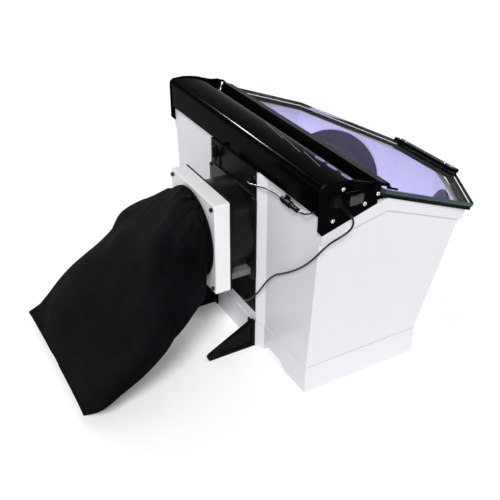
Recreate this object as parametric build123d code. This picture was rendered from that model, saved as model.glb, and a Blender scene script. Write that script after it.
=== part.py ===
from build123d import *
import os
from math import cos, hypot, pi, radians, sin, tan

os.makedirs("parts", exist_ok=True)

# ------------------------------------------------------------------ driving dimensions, mm
# Cabinet.  The origin is the middle of the base's underside, the user sits on the -Y side,
# and the fan and dust bag are on the +Y side.
BASE_TOP = 53.5             # joint between the base tray and the cabinet shell
BASE_HALF = 236.0           # half width at the joint
SIDE_LEAN = 0.0626          # the side walls lean out by this much per mm of height
FRONT_LEAN = 0.2274         # the same for the front and the two arm panels
SHOULDER_Y = -82.0          # corner of the side wall and the arm panel at the joint
FRONT_Y = -225.0            # front wall at the joint
ARM_PANEL_ANGLE = 53.2      # the arm panels' normals, in degrees from the X axis
REAR_Y = 150.0              # rear face of the two wings
BUMP_HALF = 84.6            # half width of the raised middle of the rear wall
BUMP_DEPTH = 9.4            # how far it stands behind the wings
BUMP_SLOPE = 15.9           # width of each slanted strip beside it
SKIRT_PROUD = 1.5           # the base tray stands out this much from the shell
WALL = 4.0
SHELL_TOP = 355.0           # flat rear part of the shell's top edge
SEAM_GAP = 0.3              # shadow gap between the shell and the tray

# Lid.
LID_ANGLE = 21.05           # slope of the glass, in degrees
LID_Y = 29.5                # the glass's top face passes through this point
LID_Z = 373.1
GLASS = 8.0
GASKET = 6.0
BOND = 0.08                 # film of adhesive between the glass and the gasket
GLASS_HALF = 262.7
GLASS_REAR_Y = 46.0
GLASS_SHOULDER_Y = -150.8
GLASS_FRONT_Y = -281.9
GLASS_FRONT_HALF = 87.5
RAIL_HALF = 250.5
HINGE_Y = 67.0
HINGE_Z = 383.0
HINGE_PIN_R = 2.0
HANDLE_THICK = 6.5
HANDLE_SCREW_X = (-76, -58, 58, 76)

# Rim.
RIM_PROUD = 5.0
RIM_LIP = 3.0
RIM_GAP = 0.3               # between the rim and the gasket that rests on it

# Light bar.
HOOD_HALF = 254.5
HOOD_REAR_Y = 156.0
HOOD_FRONT_Y = 52.0
HOOD_BOTTOM = 355.3
HOOD_WALL = 3.0
PLATE_IN = 255.2            # inner and outer faces of the end plates
PLATE_OUT = 259.2
PLATE_SCREWS = [(134, 346.8), (119, 395), (77.5, 361), (53.8, 372)]         # Y and Z
PLATE_SCREW_R = 1.7
LENS_X = (-168, -201, -238)
LED_X = range(-220, 221, 40)
LED_Y = (94, 120)
CARRIER_HALF = 238.0

# Switch and cable gland, on the -X end plate.
GLAND_Y, GLAND_Z = 131.5, 379.0
GLAND_R = 6.4               # threaded part
SWITCH_Y, SWITCH_Z = 103.0, 380.0
SWITCH_TILT = 8.0           # rocker's angle when it is off
ROCKER_PIVOT_X = -PLATE_OUT - 1.2

# Arm ports.
PORT_Z = 166.5
PORT_X = 160.0
PORT_R = 100.5              # retaining ring, inside
PORT_FLANGE_R = 86.3        # flange, outside
PORT_FLANGE = 4.0
PORT_HOLE_R = 80.0
PORT_BORE_R = 73.0
CUFF_HOLE_R = 30.0
PORT_SCREW_R = 1.6
PORT_SCREW_CIRCLE = 82.7

# Fan and bag.
FAN_Z = 227.0
FAN_HALF = 83.0
FAN_BORE_R = 76.0
FAN_BARREL_R = 81.5
FAN_FRONT_Y = REAR_Y + BUMP_DEPTH
FAN_DEPTH = 51.6
FAN_REAR_Y = FAN_FRONT_Y + FAN_DEPTH
FAN_HOLE = 78.0             # half the spacing of the fan's screws
BLADES = 7
FRAME_Y = FAN_REAR_Y + 0.1
FRAME_DEPTH = 27.7
FRAME_REAR_Y = FRAME_Y + FRAME_DEPTH
FRAME_HALF = 83.5
FRAME_TALL = 86.3
FRAME_HOLE_X, FRAME_HOLE_Z = 75.0, 77.0
COLLAR_R = 75.0
COLLAR_DEPTH = 11.0
OPENING_HALF = 82.0
OPENING_LOW = 73.6
OPENING_HIGH = SHELL_TOP - 0.2
CLAMP_POST = (51.0, 167.5, 342.0)
CLAMP_SCREW_R = 1.5
PANEL_SCREWS = [(x, z) for x in (-77, 77) for z in (OPENING_LOW + 10, OPENING_HIGH - 11)]

# Dust bag: its cross-sections from the neck to the far seam.
BAG_SECTIONS = [
    # across, back, up, half width, half thickness, tilt of the section from upright
    (0, 240.2, 227, 78.6, 78.6, 0),
    (0, 247.5, 227, 79.6, 79.6, 0),
    (0, 257, 225.5, 93, 85, 4),
    (6, 280, 207, 126, 78, 20),
    (14, 312, 178, 152, 62, 46),
    (12, 368, 126, 168, 51, 52),
    (12, 430, 76, 174, 38, 62),
    (18, 476, 41, 172, 19, 68),
    (36, 502, 18, 163, 5, 72),
]
BAG_RING = 24               # points round each section
BAG_SKIN = 2.5
DRAWCORD_Y = 243.4
DRAWCORD_R = 1.6

# Rear feet.
FOOT_Y = REAR_Y + BUMP_DEPTH + SKIRT_PROUD + 0.1
FOOT_X = 68.5               # middle of the foot's fixing flange
FOOT_SCREW_Z = (14, 42)

# Leads.
LEAD_D = 3.2
SUPPLY_LEAD = [
    (-267.5, 109.0, 354.0), (-269.0, 102.4, 346.2), (-270.5, 104.0, 333.0), (-268.0, 113.0, 323.5),
    (-266.0, 125.0, 317.5), (-265.0, 140.0, 312.5), (-264.5, 153.5, 303.5), (-255.0, 157.5, 288.0),
    (-232.0, 157.0, 262.0), (-203.0, 156.5, 235.0), (-168.0, 156.0, 208.0), (-143.0, 158.5, 192.0),
    (-124.0, 163.5, 168.0), (-109.0, 167.5, 141.0), (-90.0, 169.0, 117.0), (-71.0, 169.0, 97.5),
    (-58.0, 168.0, 90.0), (-48.0, 168.5, 87.0), (-48.0, 159.4, 87.0),
]
LIGHT_LEAD = [
    (-64.0, 159.4, 334.0), (-64.0, 168.4, 334.0), (-77.0, 170.5, 335.0), (-94.0, 165.5, 338.0),
    (-113.0, 160.5, 341.2), (-134.0, 157.5, 342.5), (-156.0, 157.5, 342.5),
]
LIGHT_LEAD_TAIL = [
    (-202.0, 157.5, 342.5), (-212.0, 157.5, 342.5), (-224.0, 160.0, 348.0), (-236.0, 166.0, 355.0),
    (-247.0, 165.0, 361.5), (-247.0, 156.2, 361.5),
]
CONNECTOR_JOINT_X = -182.0
RELIEF_START = Vector(-PLATE_OUT - 3.2, GLAND_Y, GLAND_Z + 1.5)
RELIEF_END = Vector(*SUPPLY_LEAD[0])

SIDES = {"left": -1, "right": 1}


# ------------------------------------------------------------------ helpers
def box(x0, x1, y0, y1, z0, z1):
    """An upright box between two corners."""
    middle = ((x0 + x1) / 2, (y0 + y1) / 2, (z0 + z1) / 2)
    return Pos(*middle) * Box(abs(x1 - x0), abs(y1 - y0), abs(z1 - z0))


def along_x(points, x0, x1, radius=0.0):
    """A closed outline in Y and Z, run from x0 to x1."""
    face = make_face(Polyline(*points, close=True))
    if radius:
        face = fillet(face.vertices(), radius)
    return extrude(Plane.YZ.offset(x0) * face, x1 - x0)


def rod_x(y, z, radius, x0, x1):
    return Pos((x0 + x1) / 2, y, z) * Rot(0, 90, 0) * Cylinder(radius, abs(x1 - x0))


def rod_y(x, z, radius, y0, y1):
    return Pos(x, (y0 + y1) / 2, z) * Rot(90, 0, 0) * Cylinder(radius, abs(y1 - y0))


def rod_between(start, end, radius):
    a, b = Vector(*start), Vector(*end)
    plane = Plane(origin=a, z_dir=b - a)
    return extrude(plane * Circle(radius), (b - a).length)


def pan_head_screw(plane, head_r, head_h, shank_r, shank_l):
    """A pan-head screw whose head sits on the plane, with a cross recess."""
    head = extrude(plane * Circle(head_r), head_h)
    head = fillet(head.edges().sort_by(lambda e: (e.center() - plane.origin).dot(plane.z_dir))[-1],
                  head_h * 0.55)
    recess = Rectangle(head_r * 1.1, head_r * 0.22) + Rectangle(head_r * 0.22, head_r * 1.1)
    head -= extrude(plane.offset(head_h * 0.45) * recess, head_h)
    return head + extrude(plane * Circle(shank_r), -shank_l)


def facing(x, y, z, direction):
    return Plane(origin=(x, y, z), z_dir=direction)


def mirrored(shape, side):
    """The shape as drawn on the -X side, or its mirror image on the +X side."""
    return shape if side < 0 else mirror(shape, about=Plane.YZ)


def lead_tube(points, diameter, name):
    """A round lead along straight runs, joined by the largest arcs that the runs allow."""
    spots = [Vector(*p) for p in points]
    radii = []
    for before, at, after in zip(spots, spots[1:], spots[2:]):
        half_turn = radians((at - before).get_angle(after - at)) / 2
        radii.append(0.45 * min((at - before).length, (after - at).length) / tan(half_turn))
    path = FilletPolyline(*spots, radius=radii)
    start = Plane(origin=spots[0], z_dir=spots[1] - spots[0])
    tube = sweep(start * Circle(diameter / 2), path=path)
    ideal = path.length * pi * diameter ** 2 / 4
    print(name, "length", round(path.length, 1), "volume ratio", round(tube.volume / ideal, 4))
    print("  radii", [round(r, 1) for r in radii])
    return tube


# ------------------------------------------------------------------ cabinet outline
def wall_lines(z, grow):
    """The +X half of the plan outline at height z: a normal and a distance for each wall."""
    rise = z - BASE_TOP
    nx, ny = cos(radians(ARM_PANEL_ANGLE)), -sin(radians(ARM_PANEL_ANGLE))
    strip = hypot(BUMP_DEPTH, BUMP_SLOPE)
    sx, sy = BUMP_DEPTH / strip, BUMP_SLOPE / strip
    return [
        (0, 1, REAR_Y + BUMP_DEPTH + grow),
        (sx, sy, sx * BUMP_HALF + sy * (REAR_Y + BUMP_DEPTH) + grow),
        (0, 1, REAR_Y + grow),
        (1, 0, BASE_HALF + SIDE_LEAN * rise + grow),
        (nx, ny, nx * BASE_HALF + ny * SHOULDER_Y + FRONT_LEAN * rise + grow),
        (0, -1, -FRONT_Y + FRONT_LEAN * rise + grow),
    ]


def wall_corners(z, grow):
    """The whole plan outline at height z, grown by some mm, as a ring of points."""
    lines = wall_lines(z, grow)
    half = []
    for (ax, ay, ad), (bx, by, bd) in zip(lines, lines[1:]):
        det = ax * by - ay * bx
        half.append(((ad * by - ay * bd) / det, (ax * bd - ad * bx) / det))
    return half + [(-x, y) for x, y in reversed(half)]


def wall_block(z0, z1, grow, upright=False):
    """A solid block between two heights, with flat leaning faces."""
    low = [Vector(x, y, z0) for x, y in wall_corners(BASE_TOP if upright else z0, grow)]
    high = [Vector(x, y, z1) for x, y in wall_corners(BASE_TOP if upright else z1, grow)]
    faces = [Face(Wire.make_polygon(low)), Face(Wire.make_polygon(high))]
    for i in range(len(low)):
        j = (i + 1) % len(low)
        faces.append(Face(Wire.make_polygon([low[i], low[j], high[j], high[i]])))
    return Solid(Shell(faces))


def lid_plane(down=0.0):
    """The slope of the glass, lowered along its normal; its Y runs up the slope."""
    slope = radians(LID_ANGLE)
    normal = Vector(0, -sin(slope), cos(slope))
    return Plane(origin=Vector(0, LID_Y, LID_Z) - normal * down, x_dir=(1, 0, 0), z_dir=normal)


def lid_height(y, down=0.0):
    """Height of that slope at one Y."""
    return LID_Z + (y - LID_Y) * tan(radians(LID_ANGLE)) - down / cos(radians(LID_ANGLE))


def on_slope(y, out):
    """A point on the glass's top face at one Y, moved out along the normal; as (Y, Z)."""
    slope = radians(LID_ANGLE)
    return (y - out * sin(slope), lid_height(y) + out * cos(slope))


def port_plane(side, out=0.0):
    """The middle of an arm port on the panel's outer face, with Z pointing out."""
    nx, ny, d = wall_lines(PORT_Z, 0)[4]
    y = (d - nx * PORT_X) / ny
    normal = Vector(side * nx, ny, -FRONT_LEAN).normalized()
    return Plane(origin=Vector(side * PORT_X, y, PORT_Z) + normal * out, z_dir=normal)


# ------------------------------------------------------------------ base and cabinet
def make_base_tray():
    tray = wall_block(0, BASE_TOP - SEAM_GAP, SKIRT_PROUD, upright=True)
    tray -= wall_block(WALL, BASE_TOP + 1, SKIRT_PROUD - WALL, upright=True)
    locating = wall_block(BASE_TOP - 14, BASE_TOP + 6, -WALL - 0.3, upright=True)
    locating -= wall_block(BASE_TOP - 15, BASE_TOP + 7, -WALL - 2.8, upright=True)
    ledge = wall_block(BASE_TOP - 14, BASE_TOP - 11, SKIRT_PROUD - WALL + 0.5, upright=True)
    ledge -= wall_block(BASE_TOP - 15, BASE_TOP - 10, -WALL - 2.8, upright=True)
    tray += [locating, ledge]
    for side in SIDES.values():
        notch = [(102, -1), (108, 15), (158, 15), (174, -1)]
        pocket = [(98, 0), (98, 19), (162, 19), (178, 0)]
        y_out, y_in = REAR_Y + SKIRT_PROUD, REAR_Y - 24
        for outline, depth, add in ((pocket, 4, True), (notch, 0, False)):
            face = make_face(Polyline(*[(side * x, z) for x, z in outline], close=True))
            block = extrude(Plane.XZ.offset(-y_out - (0 if add else 1)) * face, y_out - y_in + depth)
            tray = tray + block if add else tray - block
    return tray


def make_cabinet_shell():
    shell = wall_block(BASE_TOP, 420, 0) - wall_block(BASE_TOP - 1, 421, -WALL)
    lip = RIM_GAP + RIM_LIP + GLASS + GASKET
    run_y = LID_Y + (SHELL_TOP - lid_height(LID_Y, lip)) / tan(radians(LID_ANGLE))
    outline = [(180, BASE_TOP - 2), (180, SHELL_TOP), (run_y, SHELL_TOP),
               (-330, lid_height(-330, lip)), (-330, BASE_TOP - 2)]
    shell &= along_x(outline, -300, 300)
    for side in SIDES.values():
        shell -= extrude(port_plane(side, 20) * Circle(PORT_HOLE_R), -50)
    shell -= box(-OPENING_HALF, OPENING_HALF, REAR_Y - 20, REAR_Y + 30, OPENING_LOW, SHELL_TOP + 1)
    return shell


def make_top_rim():
    """A rim outside the shell's top edge, with a lip over the edge where the lid closes."""
    low_front = lid_height(-330, GLASS + GASKET) - 21.5
    low_apex = low_front + (LID_Y + 330) * tan(radians(LID_ANGLE))
    seal = RIM_GAP + GLASS + GASKET
    corner = 323.5
    apex_y = 33.8
    outline = [(REAR_Y, corner - 15), (REAR_Y, corner), (apex_y, lid_height(apex_y, seal)),
               (-330, lid_height(-330, seal)), (-330, low_front), (LID_Y, low_apex)]
    band = wall_block(150, 400, RIM_PROUD) - wall_block(149, 401, 0)
    band &= along_x(outline, -300, 300)
    lip_outline = [(28.0, lid_height(28.0, seal)), (-330, lid_height(-330, seal)),
                   (-330, lid_height(-330, seal + RIM_LIP)), (28.0, lid_height(28.0, seal + RIM_LIP))]
    lip = wall_block(150, 400, RIM_PROUD) - wall_block(149, 401, -WALL - 5)
    lip &= along_x(lip_outline, -300, 300)
    return band + lip


def make_rear_crossbar():
    """The bar under the rear edge of the lid, from side wall to side wall."""
    seal = RIM_GAP + GLASS + GASKET
    outline = [(29, 342), (29, lid_height(29, seal)), (44.5, lid_height(44.5, seal)),
               (50, SHELL_TOP), (60, SHELL_TOP), (60, 342)]
    return along_x(outline, -247.5, 247.5)


# ------------------------------------------------------------------ lid
def lid_outline(inset=0.0):
    """The glass's outline, drawn on the slope."""
    stretch = cos(radians(LID_ANGLE))
    cut = 7.0
    half = [(GLASS_HALF - cut, GLASS_REAR_Y), (GLASS_HALF, GLASS_REAR_Y - cut),
            (GLASS_HALF, GLASS_SHOULDER_Y), (GLASS_FRONT_HALF, GLASS_FRONT_Y)]
    ring = half + [(-x, y) for x, y in reversed(half)]
    face = make_face(Polyline(*[(x, (y - LID_Y) / stretch) for x, y in ring], close=True))
    return offset(face, amount=-inset, kind=Kind.INTERSECTION) if inset else face


def make_glass_lid():
    pane = extrude(lid_plane() * lid_outline(), -GLASS)
    top_and_bottom = pane.faces().sort_by(lambda f: f.area)[-2:]
    return chamfer(ShapeList([e for f in top_and_bottom for e in f.edges()]), 0.8)


def make_lid_gasket():
    strip = lid_outline(1.5) - lid_outline(15.5)
    return extrude(lid_plane(GLASS + BOND) * strip, -GASKET + BOND)


def make_lid_rear_rail():
    """An angle bar over the top and rear of the glass's rear edge."""
    front, back = GLASS_REAR_Y - 21.5, GLASS_REAR_Y + 0.2
    outline = [on_slope(front, 0), on_slope(front, 3.5), on_slope(front + 2.5, 6),
               on_slope(back + 1.2, 6), on_slope(back + 1.2, -GLASS - 2),
               on_slope(back, -GLASS - 2), on_slope(back, 0)]
    return along_x(outline, -RAIL_HALF, RAIL_HALF)


def handle_screw_plane(x):
    y, z = on_slope(GLASS_FRONT_Y + 6, HANDLE_THICK)
    return Plane(origin=(x, y, z), z_dir=lid_plane().z_dir)


def make_lid_handle():
    """A flat bar that clips over the front edge of the glass and overhangs it as a finger grip."""
    edge = GLASS_FRONT_Y - 0.2
    outline = [on_slope(edge + 13, 0), on_slope(edge + 12, HANDLE_THICK), on_slope(edge - 7, HANDLE_THICK),
               on_slope(edge - 8.5, HANDLE_THICK - 2), on_slope(edge - 8.5, 1), on_slope(edge - 4, 0),
               on_slope(edge - 4, -GLASS - 1), on_slope(edge, -GLASS - 1), on_slope(edge, 0)]
    bar = along_x(outline, -GLASS_FRONT_HALF + 1, GLASS_FRONT_HALF - 1)
    grip_y = on_slope(edge - 8.4, 0)[0]
    grip = [e for f in bar.faces().filter_by(Axis.X) for e in f.edges() if e.center().Y < grip_y]
    bar = chamfer(ShapeList(grip), 2)
    for x in HANDLE_SCREW_X:
        bar -= extrude(handle_screw_plane(x).offset(1) * Circle(1.2), -8)
    return bar


def make_lid_handle_screws():
    return [pan_head_screw(handle_screw_plane(x), 2.6, 1.8, 1.2, 5.5) for x in HANDLE_SCREW_X]


def make_hinge_arm(side):
    """A thin arched strap from the pin to the corner of the glass, outside the end plate."""
    x0, x1 = PLATE_OUT + 0.5, PLATE_OUT + 3.3
    back = GLASS_REAR_Y - 4
    arch = [(HINGE_Y, HINGE_Z + 5), (HINGE_Y - 9, HINGE_Z + 8.5), on_slope(back, 8.5),
            on_slope(back - 12, 3), on_slope(back - 24, 3), on_slope(back - 24, 0), on_slope(back - 4, 0),
            on_slope(back - 2, 4.5), (HINGE_Y - 9, HINGE_Z + 5), (HINGE_Y, HINGE_Z + 1.5)]
    arm = along_x(arch, -x1, -x0) + rod_x(HINGE_Y, HINGE_Z, 5, -x1, -x0)
    arm -= rod_x(HINGE_Y, HINGE_Z, HINGE_PIN_R + 0.05, -x1 - 1, -x0 + 1)
    return mirrored(arm, side)


def make_hinge_pin(side):
    pin = rod_x(HINGE_Y, HINGE_Z, HINGE_PIN_R, -PLATE_OUT - 4.2, -PLATE_IN + 1.5)
    pin += rod_x(HINGE_Y, HINGE_Z, 3.6, -PLATE_OUT - 5.8, -PLATE_OUT - 4.0)
    return mirrored(pin, side)


# ------------------------------------------------------------------ light bar
def hood_face(inset=0.0):
    """End view of the hood: an upright rear face and a top that rolls over to the front."""
    crown = TangentArc((HOOD_REAR_Y - 10, 407.5), (HOOD_REAR_Y - 64, 398), tangent=(-1, 0.06))
    brow = TangentArc(crown @ 1, (HOOD_FRONT_Y + 4, 364), tangent=crown % 1)
    front = Line(brow @ 1, (HOOD_FRONT_Y, HOOD_BOTTOM))
    rear = Line((HOOD_REAR_Y, HOOD_BOTTOM), (HOOD_REAR_Y, 397.5))
    bend = TangentArc(rear @ 1, crown @ 0, tangent=(0, 1))
    floor = Line(front @ 1, rear @ 0)
    face = make_face(Curve() + [rear, bend, crown, brow, front, floor])
    return offset(face, amount=-inset, kind=Kind.INTERSECTION) if inset else face


def make_light_bar_hood():
    hood = extrude(Plane.YZ.offset(-HOOD_HALF) * hood_face(), 2 * HOOD_HALF)
    hollow = extrude(Plane.YZ.offset(-HOOD_HALF - 1) * hood_face(HOOD_WALL), 2 * HOOD_HALF + 2)
    hood -= hollow
    hood -= box(-HOOD_HALF - 1, HOOD_HALF + 1, HOOD_FRONT_Y + 5, HOOD_REAR_Y - HOOD_WALL,
                HOOD_BOTTOM - 1, HOOD_BOTTOM + HOOD_WALL + 1)
    for lens in make_indicator_lenses():
        hood -= lens
    entry = LIGHT_LEAD_TAIL[-1]
    return hood - rod_y(entry[0], entry[2], LEAD_D / 2 + 0.4, HOOD_REAR_Y - 8, HOOD_REAR_Y + 2)


def make_indicator_lenses():
    """Three oval indicator lenses let into the crown of the hood, near its -X end."""
    lenses = []
    for x in LENS_X:
        top = Plane(origin=(x, 98.5, 400.7), x_dir=(1, 0, 0), z_dir=(0, -0.342, 0.94))
        lenses.append(extrude(top.offset(-1.6) * Ellipse(11.5, 4.6), 2.2))
    return lenses


def end_plate_outline():
    lower_rear, lower_front = (150.8, 324.6), (HOOD_FRONT_Y + 0.5, 354.9)
    return [(157.5, 332.0), lower_rear, lower_front, (HOOD_FRONT_Y, 366), (50.2, 371.2), (47.6, 378),
            (47.2, 385), (52, 391.5), (66, 393), (80, 397), (98, 403.5), (112, 406.8), (128, 409),
            (150, 408.5), (156, 404), (157.5, 398)]


def make_end_plate(side):
    plate = along_x(end_plate_outline(), -PLATE_OUT, -PLATE_IN)
    plate -= rod_x(HINGE_Y, HINGE_Z, HINGE_PIN_R, -PLATE_OUT - 1, -PLATE_IN + 1)
    for y, z in PLATE_SCREWS:
        plate -= rod_x(y, z, PLATE_SCREW_R, -PLATE_OUT - 1, -PLATE_IN + 1)
    if side < 0:
        plate -= rod_x(GLAND_Y, GLAND_Z, GLAND_R + 0.1, -PLATE_OUT - 1, -PLATE_IN + 1)
        plate -= box(-PLATE_OUT - 1, -PLATE_IN + 1, SWITCH_Y - 10.2, SWITCH_Y + 10.2,
                     SWITCH_Z - 6.2, SWITCH_Z + 6.2)
    return mirrored(plate, side)


def make_end_plate_screws():
    screws = []
    for side in SIDES.values():
        for y, z in PLATE_SCREWS:
            plane = facing(side * PLATE_OUT, y, z, (side, 0, 0))
            screws.append(pan_head_screw(plane, 3.6, 2.2, PLATE_SCREW_R, 3.9))
    return screws


def make_led_carrier():
    """A folded aluminium channel that stands on the diffuser and holds the board and driver."""
    foot = SHELL_TOP + 3.1
    outline = [(74, foot), (74, 373), (140, 373), (140, foot), (142, foot), (142, 375), (72, 375),
               (72, foot)]
    return along_x(outline, -CARRIER_HALF, CARRIER_HALF)


def make_led_board():
    board = box(-235, 235, 82, 132, 371.4, 372.9)
    chips = [box(x - 2.5, x + 2.5, y - 2.5, y + 2.5, 370.2, 371.4)
             for x in LED_X for y in LED_Y]
    return board + chips


def make_led_diffuser():
    return box(-240, 240, HOOD_FRONT_Y + 9, HOOD_REAR_Y - 4.5, SHELL_TOP + 0.6, SHELL_TOP + 3.0)


def make_led_driver():
    case = box(-215, -90, 92, 126, 375.2, 393)
    return fillet(case.edges().filter_by(Axis.X), 2.0)


# ------------------------------------------------------------------ switch and gland
def make_switch_body():
    body = box(-PLATE_OUT - 2.4, -PLATE_OUT, SWITCH_Y - 12.5, SWITCH_Y + 12.5, SWITCH_Z - 8, SWITCH_Z + 8)
    body += box(-PLATE_OUT - 1, -PLATE_IN + 14, SWITCH_Y - 10, SWITCH_Y + 10, SWITCH_Z - 6, SWITCH_Z + 6)
    return body - box(-PLATE_OUT - 3, -PLATE_OUT + 6, SWITCH_Y - 8.6, SWITCH_Y + 8.6,
                      SWITCH_Z - 4.8, SWITCH_Z + 4.8)


def make_rocker_switch():
    """A rocker that tilts about an upright axis, shown in its off position."""
    outline = [(-8, -0.5), (8, -0.5), (7.6, 4.4), (0, 3.0), (-7.6, 4.4)]
    bar = extrude(make_face(Polyline(*outline, close=True)), 4.5, both=True)
    placed = Pos(ROCKER_PIVOT_X, SWITCH_Y, SWITCH_Z) * Rot(0, 0, 90) * bar
    return placed.rotate(Axis((ROCKER_PIVOT_X, SWITCH_Y, SWITCH_Z), (0, 0, 1)), SWITCH_TILT)


def make_switch_boot():
    """A clear moulded cap over the rocker."""
    x_in, x_out = -PLATE_OUT - 2.4, -PLATE_OUT - 15.0
    outer = box(x_out, x_in, SWITCH_Y - 12.5, SWITCH_Y + 12.5, SWITCH_Z - 8.2, SWITCH_Z + 8.2)
    outer = fillet(outer.edges().filter_by(Axis.X) + outer.faces().sort_by(Axis.X)[0].edges(), 1.8)
    return outer - box(x_out + 1.4, x_in + 1, SWITCH_Y - 11, SWITCH_Y + 11, SWITCH_Z - 6.8, SWITCH_Z + 6.8)


def make_cable_gland():
    body = rod_x(GLAND_Y, GLAND_Z, GLAND_R, -PLATE_OUT - 3, -PLATE_IN + 8)
    body += rod_x(GLAND_Y, GLAND_Z, 11, -PLATE_OUT - 3, -PLATE_OUT)
    dome = rod_x(GLAND_Y, GLAND_Z, 8.6, -PLATE_OUT - 8, -PLATE_OUT - 3)
    body += fillet(dome.edges().sort_by(Axis.X)[0], 2.5)
    return body - make_strain_relief()


def make_gland_nut():
    nut = extrude(Plane.YZ.offset(-PLATE_IN + 0.1) * Pos(GLAND_Y, GLAND_Z) * RegularPolygon(11, 6), 4)
    return nut - rod_x(GLAND_Y, GLAND_Z, GLAND_R + 0.05, -PLATE_IN - 1, -PLATE_IN + 6)


def make_strain_relief():
    """A tapered, ribbed sleeve from the gland down to the lead."""
    axis = RELIEF_END - RELIEF_START
    plane = Plane(origin=RELIEF_START, z_dir=axis)
    root, tip, reach = 3.8, 2.5, axis.length
    outline = Polyline((0, 0), (root, 0), (root, reach * 0.3), (tip, reach), (0, reach), close=True)
    sleeve = revolve(plane * (Plane.XZ * make_face(outline)), Axis(RELIEF_START, axis))
    for i in range(6):
        sleeve += extrude(plane.offset(reach * (0.38 + 0.1 * i)) * Circle(4.8 - 0.28 * i), 1.8)
    return sleeve


# ------------------------------------------------------------------ arm ports
def make_arm_port_ring(side):
    flange = extrude(port_plane(side) * (Circle(PORT_FLANGE_R) - Circle(PORT_BORE_R)), PORT_FLANGE)
    flange = fillet(flange.edges().filter_by(GeomType.CIRCLE).sort_by(
        lambda e: (e.center() - port_plane(side).origin).dot(port_plane(side).z_dir))[-2:], 1.5)
    barrel = extrude(port_plane(side) * (Circle(PORT_HOLE_R - 0.2) - Circle(PORT_BORE_R)), -WALL - 4.5)
    ring = flange + barrel
    for plane in port_screw_planes(side):
        ring -= extrude(plane.offset(1) * Circle(PORT_SCREW_R), -6)
    return ring


def make_arm_port_retainer(side):
    ring = Circle(PORT_R) - Circle(PORT_HOLE_R)
    return extrude(port_plane(side, -WALL - 0.1) * ring, -3.5)


def port_screw_planes(side):
    spots = PolarLocations(PORT_SCREW_CIRCLE, 6, start_angle=30)
    return [Plane(port_plane(side, PORT_FLANGE) * spot) for spot in spots]


def make_arm_port_screws():
    planes = [plane for side in SIDES.values() for plane in port_screw_planes(side)]
    return [pan_head_screw(plane, 3.2, 2.0, PORT_SCREW_R, 3.9) for plane in planes]


def make_arm_cuff(side):
    """A gathered elastic membrane with a hole for the arm, sunk into the ring's bore."""
    edge, hole = PORT_BORE_R - 0.4, CUFF_HOLE_R
    outline = [(hole, 9), (hole, 12), (hole + 12, 8.5), (edge, -1), (edge, -5), (hole + 12, 5.5)]
    face = make_face(Polyline(*[(r, z) for r, z in outline], close=True))
    plane = port_plane(side)
    return revolve(plane * (Plane.XZ * face), Axis(plane.origin, plane.z_dir))


# ------------------------------------------------------------------ fan
def make_fan_back_panel():
    """The black panel that closes the rear opening, stepped so that it sits flush."""
    panel = box(-83.2, 83.2, REAR_Y + 2, REAR_Y + 5.2, OPENING_LOW - 4, OPENING_HIGH)
    panel += box(-OPENING_HALF + 0.2, OPENING_HALF - 0.2, REAR_Y + 5.2, FAN_FRONT_Y,
                 OPENING_LOW + 0.2, OPENING_HIGH)
    panel -= box(-76, 76, REAR_Y + 4, FAN_FRONT_Y - 3, OPENING_LOW + 6, OPENING_HIGH - 6)
    panel += rod_y(0, FAN_Z, FAN_BORE_R + 3, REAR_Y + 3, FAN_FRONT_Y - 2)
    panel -= rod_y(0, FAN_Z, FAN_BORE_R, REAR_Y - 5, FAN_FRONT_Y + 5)
    for spot in (SUPPLY_LEAD[-1], LIGHT_LEAD[0]):
        panel -= rod_y(spot[0], spot[2], 4.5, REAR_Y - 5, FAN_FRONT_Y + 5)
    for x, z in PANEL_SCREWS:
        panel -= rod_y(x, z, 1.6, FAN_FRONT_Y - 5, FAN_FRONT_Y + 1)
    return panel


def make_lead_grommet(spot):
    grommet = rod_y(spot[0], spot[2], 4.4, REAR_Y + 1, FAN_FRONT_Y)
    grommet += rod_y(spot[0], spot[2], 6.4, FAN_FRONT_Y + 0.05, FAN_FRONT_Y + 2)
    grommet += rod_y(spot[0], spot[2], 4.4, FAN_FRONT_Y - 0.1, FAN_FRONT_Y + 0.2)
    return grommet - rod_y(spot[0], spot[2], LEAD_D / 2 + 0.05, REAR_Y - 5, FAN_FRONT_Y + 5)


def around_fan(half_x, half_z):
    """The four corners of a rectangle about the fan's axis."""
    return [(x, FAN_Z + z) for x in (-half_x, half_x) for z in (-half_z, half_z)]


def turned(shape, angle):
    """The shape turned about the fan's axis."""
    return shape.rotate(Axis((0, 0, FAN_Z), (0, 1, 0)), angle)


def square_frame(half_x, half_z, y0, y1, radius):
    face = Pos(0, FAN_Z) * RectangleRounded(2 * half_x, 2 * half_z, radius)
    return extrude(Plane.XZ.offset(-y1) * face, y1 - y0)


def make_fan_housing():
    housing = square_frame(FAN_HALF, FAN_HALF, FAN_FRONT_Y + 0.1, FAN_FRONT_Y + 3.1, 7)
    housing += square_frame(FAN_HALF + 0.8, FRAME_TALL + 0.8, FAN_REAR_Y - 3, FAN_REAR_Y, 5)
    housing += rod_y(0, FAN_Z, FAN_BARREL_R, FAN_FRONT_Y + 1, FAN_REAR_Y - 1)
    for x, z in around_fan(FAN_HOLE, FAN_HOLE):
        housing -= rod_y(x, z, 2.2, FAN_FRONT_Y - 5, FAN_REAR_Y + 5)
    return housing - rod_y(0, FAN_Z, FAN_BORE_R, FAN_FRONT_Y - 5, FAN_REAR_Y + 5)


def make_fan_motor():
    """The motor can, held in the barrel by four flat arms."""
    y0, y1 = FAN_REAR_Y - 22, FAN_REAR_Y - 4
    motor = rod_y(0, FAN_Z, 40, y0, y1)
    for turn in (45, 135, 225, 315):
        arm = box(30, FAN_BORE_R - 0.25, y1 - 5, y1, FAN_Z - 4, FAN_Z + 4)
        motor += turned(arm, turn)
    motor -= rod_y(0, FAN_Z, 4.06, y0 - 1, y0 + 14)
    return motor


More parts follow.
